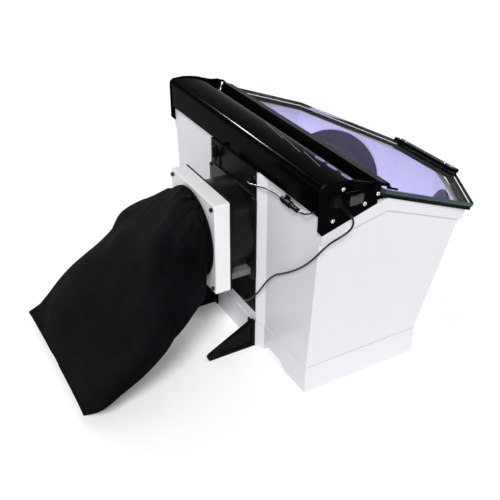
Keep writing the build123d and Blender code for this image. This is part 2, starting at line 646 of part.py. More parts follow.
def make_fan_impeller():
    """Hub, shaft and pitched blades in one rotor."""
    y0, y1 = FAN_FRONT_Y + 5, FAN_REAR_Y - 23
    rotor = rod_y(0, FAN_Z, 39, y0, y1)
    rotor += rod_y(0, FAN_Z, 4, y1 - 1, FAN_REAR_Y - 9)
    chord, thick, pitch = 30, 2.2, 38
    for i in range(BLADES):
        blade = Pos(56, (y0 + y1) / 2, FAN_Z) * Rot(pitch, 0, 0) * Box(36, thick, chord)
        rotor += turned(blade, i * 360 / BLADES)
    return rotor


def make_finger_guard():
    """A wire grille over the fan's inlet, inside the cabinet."""
    y = REAR_Y - 1.5
    wire = 1.3
    guard = Part() + [Pos(0, y, FAN_Z) * Rot(90, 0, 0) * Torus(radius, wire) for radius in range(14, 75, 12)]
    for turn in (45, 135, 225, 315):
        spoke = Pos(47, y - 1.2, FAN_Z) * Rot(0, 90, 0) * Cylinder(wire, 68)
        guard += turned(spoke, turn)
        foot = rod_y(81, FAN_Z, 3.4, y - 2.4, REAR_Y + 1.9)
        guard += turned(foot, turn)
    return guard


def make_terminal_cover():
    """A flat duct along the lower edge of the barrel, over the fan's terminals."""
    cover = box(-70, -44, FAN_FRONT_Y + 4, FAN_REAR_Y - 4, FAN_Z - 74, FAN_Z - 62)
    cover -= rod_y(0, FAN_Z, FAN_BARREL_R + 0.1, FAN_FRONT_Y, FAN_REAR_Y)
    return cover


def make_fan_screws():
    screws = []
    for x, z in around_fan(FAN_HOLE, FAN_HOLE):
        plane = facing(x, FAN_FRONT_Y + 3.15, z, (0, 1, 0))
        screws.append(pan_head_screw(plane, 3.4, 2.2, 2.1, 3))
    return screws


def make_lead_clamp():
    """A post on a small plate that is screwed to the back panel, up under the hood."""
    x, y, z = CLAMP_POST
    clamp = box(x - 5, x + 19, FAN_FRONT_Y + 0.05, FAN_FRONT_Y + 2.2, z - 29, z)
    clamp += box(x - 3, x + 3, FAN_FRONT_Y + 1, y, z - 10, z)
    post = Pos(x, y, z) * Cylinder(5.5, 22)
    clamp -= extrude(clamp_screw_plane() * Circle(CLAMP_SCREW_R), -4)
    return clamp + fillet(post.edges().filter_by(GeomType.CIRCLE), 1.5)


def clamp_screw_plane():
    x, _, z = CLAMP_POST
    return facing(x + 12, FAN_FRONT_Y + 2.25, z - 21, (0, 1, 0))


def make_lead_clamp_screw():
    return pan_head_screw(clamp_screw_plane(), 3.4, 2.0, CLAMP_SCREW_R, 2.1)


def make_back_panel_screws():
    screws = []
    for x, z in PANEL_SCREWS:
        plane = facing(x, FAN_FRONT_Y + 0.05, z, (0, 1, 0))
        screws.append(pan_head_screw(plane, 3.2, 2.0, 1.6, 4))
    return screws


# ------------------------------------------------------------------ bag
def make_bag_frame():
    """A deep square frame with a round collar that the bag's neck is pulled over."""
    frame = square_frame(FRAME_HALF, FRAME_TALL, FRAME_Y, FRAME_REAR_Y, 4)
    frame = chamfer(frame.faces().sort_by(Axis.Y)[-1].edges(), 1.5)
    frame -= square_frame(FRAME_HALF - 3, FRAME_TALL - 3, FRAME_Y - 1, FRAME_REAR_Y - 4, 3)
    frame += rod_y(0, FAN_Z, COLLAR_R, FRAME_Y, FRAME_REAR_Y + COLLAR_DEPTH)
    frame -= rod_y(0, FAN_Z, COLLAR_R - 4, FRAME_Y - 1, FRAME_REAR_Y + COLLAR_DEPTH + 1)
    for x, z in around_fan(FRAME_HOLE_X, FRAME_HOLE_Z):
        frame += rod_y(x, z, 7, FRAME_Y, FRAME_REAR_Y - 1)
    return frame


def make_bag_frame_screws():
    screws = []
    for x, z in around_fan(FRAME_HOLE_X, FRAME_HOLE_Z):
        plane = facing(x, FRAME_REAR_Y + 0.05, z, (0, 1, 0))
        head = extrude(plane * Circle(3.8), 3.6) - extrude(plane.offset(1.6) * RegularPolygon(2, 6), 3)
        screws.append(head)
    return screws


def bag_ring(section, shrink):
    """Points round one oval cross-section of the bag."""
    across, back, up, half_w, half_t, tilt = section
    plane = Plane(origin=(across, back, up), x_dir=(1, 0, 0),
                  z_dir=(0, cos(radians(tilt)), -sin(radians(tilt))))
    turns = [radians(360 * i / BAG_RING) for i in range(BAG_RING)]
    return [plane.from_local_coords(Vector((half_w - shrink) * cos(t), (half_t - shrink) * sin(t), 0))
            for t in turns]


def skin_between(ring_a, ring_b):
    faces = []
    for i in range(BAG_RING):
        j = (i + 1) % BAG_RING
        faces.append(Face(Wire.make_polygon([ring_a[i], ring_a[j], ring_b[j]])))
        faces.append(Face(Wire.make_polygon([ring_a[i], ring_b[j], ring_b[i]])))
    return faces


def make_dust_bag():
    """A hollow bag, open and round at its neck and flattened to a straight seam at its far end."""
    outer = [bag_ring(section, 0) for section in BAG_SECTIONS]
    inner = [bag_ring(section, BAG_SKIN) for section in BAG_SECTIONS[:-1]]
    faces = skin_between(outer[0], inner[0])
    for rings in (outer, inner):
        for ring_a, ring_b in zip(rings, rings[1:]):
            faces += skin_between(ring_a, ring_b)
        faces.append(Face(Wire.make_polygon(rings[-1])))
    return Solid(Shell(faces))


def make_bag_drawcord():
    """The elastic cord that grips the bag's neck on the collar."""
    grip_r = BAG_SECTIONS[0][3] + 2.6
    return Pos(0, DRAWCORD_Y, FAN_Z) * Rot(90, 0, 0) * Torus(grip_r, DRAWCORD_R)


# ------------------------------------------------------------------ feet
def make_rear_foot(side):
    """A triangular stabiliser with a raised border, fixed to the back of the base."""
    outer = make_face(Polyline((FOOT_Y, 57), (FOOT_Y, 0), (256, 0), (257.5, 6), (253, 11), (FOOT_Y + 6, 57),
                               close=True))
    outer = fillet(outer.vertices().sort_by(Axis.X)[-3:], 2.5)
    foot = extrude(Plane.YZ.offset(-84) * outer, 9)
    inner = make_face(Polyline((FOOT_Y + 6, 46), (FOOT_Y + 6, 6.5), (241, 6.5), close=True))
    inner = fillet(inner.vertices(), 2)
    foot -= extrude(Plane.YZ.offset(-85) * inner, 4)
    foot -= extrude(Plane.YZ.offset(-78) * inner, 4)
    foot += box(-75.2, -62, FOOT_Y, FOOT_Y + 3.5, 4, 52)
    for z in FOOT_SCREW_Z:
        foot -= rod_y(-FOOT_X, z, 1.7, FOOT_Y - 1, FOOT_Y + 5)
    return mirrored(foot, side)


def make_foot_screws():
    screws = []
    for side in SIDES.values():
        for z in FOOT_SCREW_Z:
            plane = facing(side * FOOT_X, FOOT_Y + 3.55, z, (0, 1, 0))
            screws.append(pan_head_screw(plane, 3.4, 2.2, 1.7, 3.4))
    return screws


# ------------------------------------------------------------------ connector and tie
def make_connector_socket():
    x, y, z = LIGHT_LEAD[-1]
    body = rod_x(y, z, 4.4, x, CONNECTOR_JOINT_X)
    return body + rod_x(y, z, 5.6, CONNECTOR_JOINT_X, CONNECTOR_JOINT_X + 9)


def make_connector_plug():
    x, y, z = LIGHT_LEAD_TAIL[0]
    return rod_x(y, z, 4.0, x, CONNECTOR_JOINT_X - 0.1)


def make_cable_tie():
    """A stick-on saddle that holds the connector to the wall."""
    x, y, z = -164.0, LIGHT_LEAD[-1][1], LIGHT_LEAD[-1][2]
    loop = rod_x(y, z, 5.6, x - 2, x + 2) + box(x - 6, x + 6, REAR_Y + 0.05, REAR_Y + 2.2, z - 6, z + 6)
    loop += box(x - 2, x + 2, REAR_Y + 1, y - 3, z - 3, z + 3)
    return loop - rod_x(y, z, 4.45, x - 8, x + 8)


# ------------------------------------------------------------------ the assembly
def build_parts():
    parts = {
        "base_tray": make_base_tray(),
        "cabinet_shell": make_cabinet_shell(),
        "top_rim": make_top_rim(),
        "rear_crossbar": make_rear_crossbar(),
        "glass_lid": make_glass_lid(),
        "lid_gasket": make_lid_gasket(),
        "lid_rear_rail": make_lid_rear_rail(),
        "lid_handle": make_lid_handle(),
        "lid_handle_screws": make_lid_handle_screws(),
        "light_bar_hood": make_light_bar_hood(),
        "indicator_lenses": make_indicator_lenses(),
        "end_plate_screws": make_end_plate_screws(),
        "led_carrier": make_led_carrier(),
        "led_board": make_led_board(),
        "led_diffuser": make_led_diffuser(),
        "led_driver": make_led_driver(),
        "switch_body": make_switch_body(),
        "rocker_switch": make_rocker_switch(),
        "switch_boot": make_switch_boot(),
        "cable_gland": make_cable_gland(),
        "gland_nut": make_gland_nut(),
        "strain_relief": make_strain_relief(),
        "arm_port_screws": make_arm_port_screws(),
        "fan_back_panel": make_fan_back_panel(),
        "supply_grommet": make_lead_grommet(SUPPLY_LEAD[-1]),
        "light_grommet": make_lead_grommet(LIGHT_LEAD[0]),
        "fan_housing": make_fan_housing(),
        "fan_motor": make_fan_motor(),
        "fan_impeller": make_fan_impeller(),
        "finger_guard": make_finger_guard(),
        "terminal_cover": make_terminal_cover(),
        "fan_screws": make_fan_screws(),
        "back_panel_screws": make_back_panel_screws(),
        "lead_clamp": make_lead_clamp(),
        "lead_clamp_screw": make_lead_clamp_screw(),
        "bag_frame": make_bag_frame(),
        "bag_frame_screws": make_bag_frame_screws(),
        "dust_bag": make_dust_bag(),
        "bag_drawcord": make_bag_drawcord(),
        "foot_screws": make_foot_screws(),
        "supply_lead": lead_tube(SUPPLY_LEAD, LEAD_D, "supply_lead"),
        "light_lead": lead_tube(LIGHT_LEAD, LEAD_D, "light_lead"),
        "light_lead_tail": lead_tube(LIGHT_LEAD_TAIL, LEAD_D, "light_lead_tail"),
        "connector_socket": make_connector_socket(),
        "connector_plug": make_connector_plug(),
        "cable_tie": make_cable_tie(),
    }
    for word, side in SIDES.items():
        parts["hinge_arm_" + word] = make_hinge_arm(side)
        parts["hinge_pin_" + word] = make_hinge_pin(side)
        parts["end_plate_" + word] = make_end_plate(side)
        parts["arm_port_ring_" + word] = make_arm_port_ring(side)
        parts["arm_port_retainer_" + word] = make_arm_port_retainer(side)
        parts["arm_cuff_" + word] = make_arm_cuff(side)
        parts["rear_foot_" + word] = make_rear_foot(side)
    return parts


for name, shape in build_parts().items():
    solids = shape if isinstance(shape, list) else shape.solids()
    export_step(Compound(children=list(solids), label=name), os.path.join("parts", name + ".step"))
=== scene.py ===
import bpy
import math
from mathutils import Matrix, Vector, noise


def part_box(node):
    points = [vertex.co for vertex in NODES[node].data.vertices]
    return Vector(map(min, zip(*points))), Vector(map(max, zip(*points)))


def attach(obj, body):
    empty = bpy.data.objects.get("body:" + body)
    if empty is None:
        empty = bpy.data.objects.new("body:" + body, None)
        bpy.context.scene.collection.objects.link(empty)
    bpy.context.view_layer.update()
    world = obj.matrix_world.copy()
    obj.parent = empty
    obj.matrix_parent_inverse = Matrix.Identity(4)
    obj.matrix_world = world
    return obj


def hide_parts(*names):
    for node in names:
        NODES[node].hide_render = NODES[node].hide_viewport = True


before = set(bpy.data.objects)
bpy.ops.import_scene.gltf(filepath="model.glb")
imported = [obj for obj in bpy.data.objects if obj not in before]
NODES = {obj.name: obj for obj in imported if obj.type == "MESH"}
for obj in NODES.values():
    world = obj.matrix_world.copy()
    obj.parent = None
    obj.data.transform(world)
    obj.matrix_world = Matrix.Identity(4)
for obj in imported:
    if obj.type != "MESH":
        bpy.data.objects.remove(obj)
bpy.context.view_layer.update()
TURN = 2 * math.pi


def limited(value):
    return min(1.0, max(0.0, value))


# ------------------------------------------------------------------ materials
def new_material(name):
    m = bpy.data.materials.new(name)
    m.use_nodes = True
    tree = m.node_tree
    tree.nodes.clear()
    out = tree.nodes.new("ShaderNodeOutputMaterial")
    shader = tree.nodes.new("ShaderNodeBsdfPrincipled")
    tree.links.new(shader.outputs[0], out.inputs["Surface"])
    return m, tree, shader


def principled(material):
    return next(n for n in material.node_tree.nodes if n.type == "BSDF_PRINCIPLED")


def node(tree, kind, inputs=None, **props):
    n = tree.nodes.new(kind)
    for key, value in props.items():
        setattr(n, key, value)
    for key, value in (inputs or {}).items():
        if hasattr(value, "bl_rna") and hasattr(value, "is_linked"):
            tree.links.new(value, n.inputs[key])
        else:
            n.inputs[key].default_value = value
    return n


def math_node(tree, operation, a, b=0.0, clamp=False):
    return node(tree, "ShaderNodeMath", {0: a, 1: b}, operation=operation, use_clamp=clamp).outputs[0]


def ramp(tree, fac, low, high, at=(0.0, 1.0)):
    n = node(tree, "ShaderNodeValToRGB", {0: fac})
    n.color_ramp.elements[0].position, n.color_ramp.elements[1].position = at
    n.color_ramp.elements[0].color = (*low, 1)
    n.color_ramp.elements[1].color = (*high, 1)
    return n.outputs[0]


def remap(tree, value, low, high, from_low=0.0, from_high=1.0):
    limits = {"From Min": from_low, "From Max": from_high, "To Min": low, "To Max": high}
    return node(tree, "ShaderNodeMapRange", {"Value": value, **limits}).outputs[0]


def blend(tree, share, first, second):
    """Colours mixed by share; each may be a socket or a plain colour."""
    mix = node(tree, "ShaderNodeMix", {0: share}, data_type="RGBA")
    for index, value in ((6, first), (7, second)):
        if isinstance(value, tuple):
            mix.inputs[index].default_value = value
        else:
            tree.links.new(value, mix.inputs[index])
    return mix.outputs[2]


def object_space(tree):
    return node(tree, "ShaderNodeTexCoord").outputs["Object"]


def clouds(tree, where, scale, detail, roughness=0.5):
    inputs = {"Vector": where, "Scale": scale, "Detail": detail, "Roughness": roughness}
    return node(tree, "ShaderNodeTexNoise", inputs).outputs[0]


def bumped(tree, height, strength, distance, under=None):
    """A bump over an optional coarser one."""
    inputs = {"Strength": strength, "Distance": distance, "Height": height}
    if under is not None:
        inputs["Normal"] = under
    return node(tree, "ShaderNodeBump", inputs).outputs[0]


DUST_COLOUR = (0.55, 0.54, 0.56, 1)
DUST_SPECK = 420.0
GRAIN = 900.0
COAT_ROUGH = 0.06


def dusted(tree, where, colour, dust):
    """Dust in specks, most of it on faces that look up."""
    normal = node(tree, "ShaderNodeTexCoord").outputs["Normal"]
    up = node(tree, "ShaderNodeSeparateXYZ", {0: normal}).outputs[2]
    speck = remap(tree, clouds(tree, where, DUST_SPECK, 4.0), 0.0, 1.0, 0.52, 0.72)
    lying = math_node(tree, "MULTIPLY", remap(tree, up, 0.0, 1.0, 0.2, 1.0), speck)
    lying = math_node(tree, "MULTIPLY", lying, dust, clamp=True)
    return blend(tree, lying, colour, DUST_COLOUR)


def moulded(name, dark, light, rough, grain_depth=0.02, flow=6.0, coat=0.0, metal=0.0, specular=0.5,
            dust=0.0, waves=0.0006):
    """Paint, rubber or moulded plastic: cloudy colour, uneven gloss, a fine grain and settled dust."""
    m, tree, shader = new_material(name)
    where = object_space(tree)
    cloud = clouds(tree, where, flow, 5.0, 0.6)
    smear = clouds(tree, where, flow * 7, 6.0, 0.7)
    fine = clouds(tree, where, GRAIN, 2.0)
    colour = ramp(tree, cloud, dark, light, (0.3, 0.7))
    if dust:
        colour = dusted(tree, where, colour, dust)
    tree.links.new(colour, shader.inputs["Base Color"])
    tree.links.new(remap(tree, smear, rough * 0.9, rough * 1.12, 0.3, 0.7), shader.inputs["Roughness"])
    swell = bumped(tree, cloud, 0.25, waves)
    tree.links.new(bumped(tree, fine, 0.6, grain_depth * 0.001, swell), shader.inputs["Normal"])
    shader.inputs["Metallic"].default_value = metal
    shader.inputs["Specular IOR Level"].default_value = specular
    shader.inputs["Coat Weight"].default_value = coat
    shader.inputs["Coat Roughness"].default_value = COAT_ROUGH
    return m


def brushed(name, dark, light, rough, stretch=(1, 1, 60)):
    """Turned or drawn metal with fine lines along one axis."""
    m, tree, shader = new_material(name)
    lines = node(tree, "ShaderNodeMapping", {"Vector": object_space(tree), "Scale": stretch}).outputs[0]
    streak = clouds(tree, lines, 240.0, 4.0)
    tree.links.new(ramp(tree, streak, dark, light, (0.35, 0.65)), shader.inputs["Base Color"])
    tree.links.new(remap(tree, streak, rough * 0.7, rough * 1.4, 0.3, 0.7), shader.inputs["Roughness"])
    tree.links.new(bumped(tree, streak, 0.3, 0.00005), shader.inputs["Normal"])
    shader.inputs["Metallic"].default_value = 1.0
    return m


THREADS = 900.0         # per unit of the UVs, both ways
WEAVE_DEPTH, CREASE_DEPTH = 0.00035, 0.0022


def woven(name, dark, light, rough=0.85, sheen=0.6):
    """Plain-weave cloth, its threads drawn along the piece's UVs."""
    m, tree, shader = new_material(name)
    uv = node(tree, "ShaderNodeTexCoord").outputs["UV"]
    parts = node(tree, "ShaderNodeSeparateXYZ", {0: uv})
    warp, weft = [math_node(tree, "SINE", math_node(tree, "MULTIPLY", parts.outputs[i], THREADS * TURN))
                  for i in (0, 1)]
    weave = remap(tree, math_node(tree, "MULTIPLY", warp, weft), 0.0, 1.0, -1.0, 1.0)
    where = object_space(tree)
    patch = clouds(tree, where, 14.0, 6.0, 0.65)
    lint = clouds(tree, where, 700.0, 3.0)
    crease = clouds(tree, where, 38.0, 5.0, 0.6)
    mixed = math_node(tree, "ADD", math_node(tree, "MULTIPLY", weave, 0.35),
                      math_node(tree, "MULTIPLY", patch, 0.65))
    uneven = math_node(tree, "MULTIPLY", math_node(tree, "SUBTRACT", lint, 0.5), 0.5)
    mixed = math_node(tree, "ADD", mixed, uneven)
    tree.links.new(ramp(tree, mixed, dark, light, (0.3, 0.85)), shader.inputs["Base Color"])
    tree.links.new(remap(tree, lint, rough - 0.08, rough + 0.1, 0.3, 0.7), shader.inputs["Roughness"])
    soft = bumped(tree, crease, 0.5, CREASE_DEPTH)
    tree.links.new(bumped(tree, weave, 0.7, WEAVE_DEPTH, soft), shader.inputs["Normal"])
    shader.inputs["Sheen Weight"].default_value = sheen
    shader.inputs["Sheen Roughness"].default_value = 0.45
    shader.inputs["Sheen Tint"].default_value = (0.75, 0.70, 0.85, 1)
    shader.inputs["Specular IOR Level"].default_value = 0.03
    return m


def clear(name, tint, rough, ior):
    """Clear plastic with a cloudy polish."""
    m, tree, shader = new_material(name)
    smudge = clouds(tree, object_space(tree), 9.0, 7.0, 0.7)
    tree.links.new(remap(tree, smudge, rough * 0.4, rough * 1.8, 0.35, 0.75), shader.inputs["Roughness"])
    tree.links.new(ramp(tree, smudge, tint, [min(1.0, c * 1.02) for c in tint]),
                   shader.inputs["Base Color"])
    shader.inputs["IOR"].default_value = ior
    shader.inputs["Transmission Weight"].default_value = 1.0
    return m


FACE_ALPHA = 0.05


def pane_glass(name, film, edge, normal):
    """A sheet of glass: nearly invisible faces, and cut edges in deep bottle green."""
    m, tree, shader = new_material(name)
    coords = node(tree, "ShaderNodeTexCoord")
    where = coords.outputs["Object"]
    smudge = clouds(tree, where, 9.0, 7.0, 0.7)
    across = node(tree, "ShaderNodeVectorMath", {0: coords.outputs["Normal"], 1: normal},
                  operation="DOT_PRODUCT")
    flat = math_node(tree, "ABSOLUTE", across.outputs["Value"])
    side = remap(tree, flat, 1.0, 0.0, 0.25, 0.8)
    edge_colour = ramp(tree, clouds(tree, where, 60.0, 3.0), [c * 0.55 for c in edge], edge, (0.3, 0.7))
    face_colour = ramp(tree, smudge, film, [c * 1.1 for c in film])
    tree.links.new(blend(tree, side, face_colour, edge_colour), shader.inputs["Base Color"])
    tree.links.new(remap(tree, side, FACE_ALPHA, 1.0), shader.inputs["Alpha"])
    tree.links.new(remap(tree, smudge, 0.01, 0.05, 0.35, 0.75), shader.inputs["Roughness"])
    shader.inputs["Specular IOR Level"].default_value = 0.5
    m.use_transparent_shadow = False
    return m


def glowing(name, colour, strength):
    """A frosted surface that gives light."""
    m, tree, shader = new_material(name)
    frost = clouds(tree, object_space(tree), 300.0, 3.0)
    shade = ramp(tree, frost, [c * 0.9 for c in colour], colour, (0.3, 0.7))
    tree.links.new(shade, shader.inputs["Base Color"])
    tree.links.new(shade, shader.inputs["Emission Color"])
    shader.inputs["Emission Strength"].default_value = strength
    shader.inputs["Roughness"].default_value = 0.6
    return m


LID_SLOPE = math.radians(21.05)
LID_NORMAL = (0.0, -math.sin(LID_SLOPE), math.cos(LID_SLOPE))
GLOSS_LOOK = dict(dark=(0.0008, 0.0008, 0.0010), light=(0.0016, 0.0016, 0.0020), rough=0.12,
                  grain_depth=0.003, flow=5.0, specular=0.008, dust=0.001, waves=0.0001)

WHITE = moulded("white_plastic", (0.655, 0.665, 0.695), (0.685, 0.695, 0.72), 0.32, grain_depth=0.008,
                flow=2.0, coat=0.12, specular=0.35, waves=0.00003)
FRAME_WHITE = moulded("frame_white", (0.74, 0.74, 0.755), (0.78, 0.78, 0.795), 0.3, grain_depth=0.008,
                      flow=3.0, coat=0.15, waves=0.00004)
GLOSS_BLACK = moulded("gloss_black", **GLOSS_LOOK)
PAINT_BLACK = moulded("paint_black", (0.0010, 0.0010, 0.0013), (0.0022, 0.0022, 0.0026), 0.26,
                      grain_depth=0.02, flow=9.0, specular=0.008, dust=0.001, waves=0.0001)
PLASTIC_BLACK = moulded("plastic_black", (0.0025, 0.0024, 0.0026), (0.006, 0.0055, 0.0055), 0.34,
                        grain_depth=0.05, flow=12.0, specular=0.03, dust=0.002)
FAN_BLACK = moulded("fan_black", (0.004, 0.0032, 0.0032), (0.009, 0.007, 0.0065), 0.3, grain_depth=0.05,
                    flow=16.0, specular=0.12, dust=0.01)
RUBBER = moulded("rubber", (0.003, 0.003, 0.003), (0.006, 0.006, 0.006), 0.45, grain_depth=0.08,
                 flow=20.0, specular=0.03, dust=0.002)
SHEATH = moulded("lead_sheath", (0.003, 0.003, 0.0035), (0.007, 0.007, 0.0075), 0.3, grain_depth=0.03,
                 flow=30.0, specular=0.3)
GREY = moulded("grey_plastic", (0.11, 0.11, 0.115), (0.16, 0.16, 0.165), 0.4, flow=18.0, dust=0.05)
RING = moulded("ring_plastic", (0.009, 0.011, 0.022), (0.015, 0.018, 0.034), 0.38, flow=10.0,
               specular=0.2)
OXIDE = moulded("black_oxide", (0.01, 0.01, 0.012), (0.025, 0.025, 0.028), 0.3, flow=60.0, metal=0.6)
CHROME = brushed("screw_chrome", (0.55, 0.55, 0.58), (0.85, 0.85, 0.88), 0.16, (1, 1, 1))
WIRE = brushed("guard_wire", (0.3, 0.3, 0.32), (0.55, 0.55, 0.57), 0.3)
ALU = brushed("mill_aluminium", (0.6, 0.6, 0.62), (0.75, 0.75, 0.77), 0.35, (60, 1, 1))
PANE = pane_glass("lid_glass", (0.03, 0.028, 0.06), (0.003, 0.045, 0.03), LID_NORMAL)
BOOT = clear("clear_boot", (0.62, 0.60, 0.63), 0.12, 1.4)
GLOW = glowing("frosted_diffuser", (0.66, 0.58, 1.0), 2.2)
BOARD = moulded("led_board", (0.7, 0.7, 0.72), (0.8, 0.8, 0.82), 0.4, flow=60.0)
CLOTH = woven("black_cloth", (0.0003, 0.0002, 0.0004), (0.0085, 0.0072, 0.0100), sheen=0.004)
CUFF_CLOTH = woven("grey_sleeve", (0.016, 0.017, 0.026), (0.06, 0.06, 0.08), rough=0.5, sheen=0.25)


def part_coordinates(tree):
    parts = node(tree, "ShaderNodeSeparateXYZ", {0: object_space(tree)})
    return parts.outputs[0], parts.outputs[1]


def within(tree, value, low, high):
    """1 where the value lies between two limits."""
    above = math_node(tree, "GREATER_THAN", value, low)
    return math_node(tree, "MULTIPLY", above, math_node(tree, "LESS_THAN", value, high))


def either(tree, first, second):
    return second if first is None else math_node(tree, "MAXIMUM", first, second)


LENS_CENTRES, LENS_BACK = (-0.168, -0.201, -0.238), 0.0985
LENS_HALF_LENGTH, LENS_HALF_WIDTH = 0.0115, 0.0044
LENS_GLINT_BAND = (0.72, 1.2)          # from and to, as shares of the oval: the band of painted rim highlight


def lenses_with_painted_rim_glint():
    """Dark oval lenses, each ringed by a painted highlight: a violet band given off as emission, standing in
    for light caught on the rims.
    """
    m = moulded("purple_lens", (0.004, 0.002, 0.012), (0.008, 0.004, 0.02), 0.2, flow=120.0, coat=0.4)
    tree = m.node_tree
    shader = principled(m)
    x, y = part_coordinates(tree)
    rim_glint = None
    for centre in LENS_CENTRES:
        dx = math_node(tree, "DIVIDE", math_node(tree, "SUBTRACT", x, centre), LENS_HALF_LENGTH)
        dy = math_node(tree, "DIVIDE", math_node(tree, "SUBTRACT", y, LENS_BACK), LENS_HALF_WIDTH)
        squares = [math_node(tree, "MULTIPLY", d, d) for d in (dx, dy)]
        reach = math_node(tree, "SQRT", math_node(tree, "ADD", *squares))
        rim_glint = either(tree, rim_glint, within(tree, reach, *LENS_GLINT_BAND))
    # painted highlight: the violet band glows as emission in place of light caught on the lens rims
    tree.links.new(blend(tree, rim_glint, (0.01, 0.004, 0.03, 1), (0.36, 0.22, 0.95, 1)),
                   shader.inputs["Emission Color"])
    shader.inputs["Emission Strength"].default_value = 0.85
    return m


STRIPE_SLANT, STRIPE_HALF = 0.19, 0.0004
STRIPES = ((0.0902, -0.141, -0.041), (0.0956, -0.081, -0.002), (0.0815, -0.200, -0.137))
STRIPE_COLOUR = (0.42, 0.41, 0.46, 1)


def pinstriped_hood():
    """The hood's gloss black with a few fine silver lines along its crown."""
    m = moulded("hood_black", **GLOSS_LOOK)
    tree = m.node_tree
    shader = principled(m)
    x, y = part_coordinates(tree)
    slant = math_node(tree, "ADD", y, math_node(tree, "MULTIPLY", x, STRIPE_SLANT))
    lines = None
    for level, start, end in STRIPES:
        along = within(tree, slant, level - STRIPE_HALF, level + STRIPE_HALF)
        lines = either(tree, lines, math_node(tree, "MULTIPLY", along, within(tree, x, start, end)))
    plain = shader.inputs["Base Color"].links[0].from_socket
    tree.links.new(blend(tree, lines, plain, STRIPE_COLOUR), shader.inputs["Base Color"])
    return m


HOOD = pinstriped_hood()
LENS = lenses_with_painted_rim_glint()

FINISH = {
    "white": (WHITE, ["base_tray", "cabinet_shell", "top_rim"]),
    "frame": (FRAME_WHITE, ["bag_frame"]),
    "gloss": (HOOD, ["light_bar_hood"]),
    "pins": (GLOSS_BLACK, ["hinge_pin_left", "hinge_pin_right"]),
    "paint": (PAINT_BLACK, ["lid_rear_rail", "lid_handle", "hinge_arm_left", "hinge_arm_right",
                            "end_plate_left", "end_plate_right"]),
    "plastic": (PLASTIC_BLACK, ["switch_body", "rocker_switch", "cable_gland", "gland_nut", "fan_back_panel",
                                "rear_foot_left", "rear_foot_right", "connector_socket", "connector_plug",
                                "cable_tie", "led_driver", "rear_crossbar", "lead_clamp"]),
    "fan": (FAN_BLACK, ["fan_housing", "fan_motor", "fan_impeller"]),
    "rubber": (RUBBER, ["lid_gasket", "strain_relief", "supply_grommet", "light_grommet"]),
    "grey": (GREY, ["terminal_cover"]),
    "ring": (RING, ["arm_port_ring_left", "arm_port_ring_right", "arm_port_retainer_left",
                    "arm_port_retainer_right"]),
    "oxide": (OXIDE, ["fan_screws", "back_panel_screws", "bag_frame_screws", "foot_screws",
                      "lead_clamp_screw"]),
    "chrome": (CHROME, ["end_plate_screws", "lid_handle_screws", "arm_port_screws"]),
    "wire": (WIRE, ["finger_guard"]),
    "alu": (ALU, ["led_carrier"]),
    "lens": (LENS, ["indicator_lenses"]),
    "pane": (PANE, ["glass_lid"]),
    "boot": (BOOT, ["switch_boot"]),
    "glow": (GLOW, ["led_diffuser"]),
    "board": (BOARD, ["led_board"]),
}
for material, names in FINISH.values():
    for name in names:
        slots = NODES[name].data.materials
        if len(slots):
            for i in range(len(slots)):
                slots[i] = material
        else:
            slots.append(material)


def soften(name, width):
    """A moulded radius on a CAD node's sharp edges."""
    bevel = NODES[name].modifiers.new("edge", "BEVEL")
    bevel.width = width
    bevel.segments = 3
    bevel.limit_method = "ANGLE"
    bevel.angle_limit = math.radians(30)
    bevel.harden_normals = True


for name, width in {"cabinet_shell": 0.0012, "base_tray": 0.0012, "top_rim": 0.0010, "bag_frame": 0.0009,
                    "lid_rear_rail": 0.0007, "lid_handle": 0.0008, "end_plate_left": 0.0005,
                    "end_plate_right": 0.0005, "rear_foot_left": 0.0008, "rear_foot_right": 0.0008,
                    "terminal_cover": 0.0006, "fan_back_panel": 0.0006, "lid_gasket": 0.0008}.items():
    soften(name, width)


# ------------------------------------------------------------------ mesh helpers
def linked(name, data):
    obj = bpy.data.objects.new(name, data)
    bpy.context.scene.collection.objects.link(obj)
    return obj


def cloth_object(name, verts, faces, material, uvs):
    mesh = bpy.data.meshes.new(name)
    mesh.from_pydata(verts, [], faces)
    mesh.update()
    layer = mesh.uv_layers.new(name="cloth")
    for loop in mesh.loops:
        layer.data[loop.index].uv = uvs[loop.vertex_index]
    for p in mesh.polygons:
        p.use_smooth = True
    mesh.materials.append(material)
    return linked(name, mesh)


def grid_faces(rows, columns):
    """Faces between rings of vertices, each ring closed on itself."""
    faces = []
    for r in range(rows - 1):
        for c in range(columns):
            d = (c + 1) % columns
            faces.append((r * columns + c, r * columns + d, (r + 1) * columns + d, (r + 1) * columns + c))
    return faces


def joined_rings(rows, columns):
    """The faces that join the last ring of vertices to the first."""
    base = (rows - 1) * columns
    return [(base + c, base + (c + 1) % columns, (c + 1) % columns, c) for c in range(columns)]


def catmull(values, t):
    """A smooth curve through rows of numbers, t from 0 to len - 1."""
    last = len(values) - 1
    i = min(int(t), last - 1)
    f = t - i
    p0, p1, p2, p3 = (values[max(i - 1, 0)], values[i], values[i + 1], values[min(i + 2, last)])
    return [0.5 * (2 * b + (c - a) * f + (2 * a - 5 * b + 4 * c - d) * f * f
                   + (3 * b - a - 3 * c + d) * f ** 3)
            for a, b, c, d in zip(p0, p1, p2, p3)]


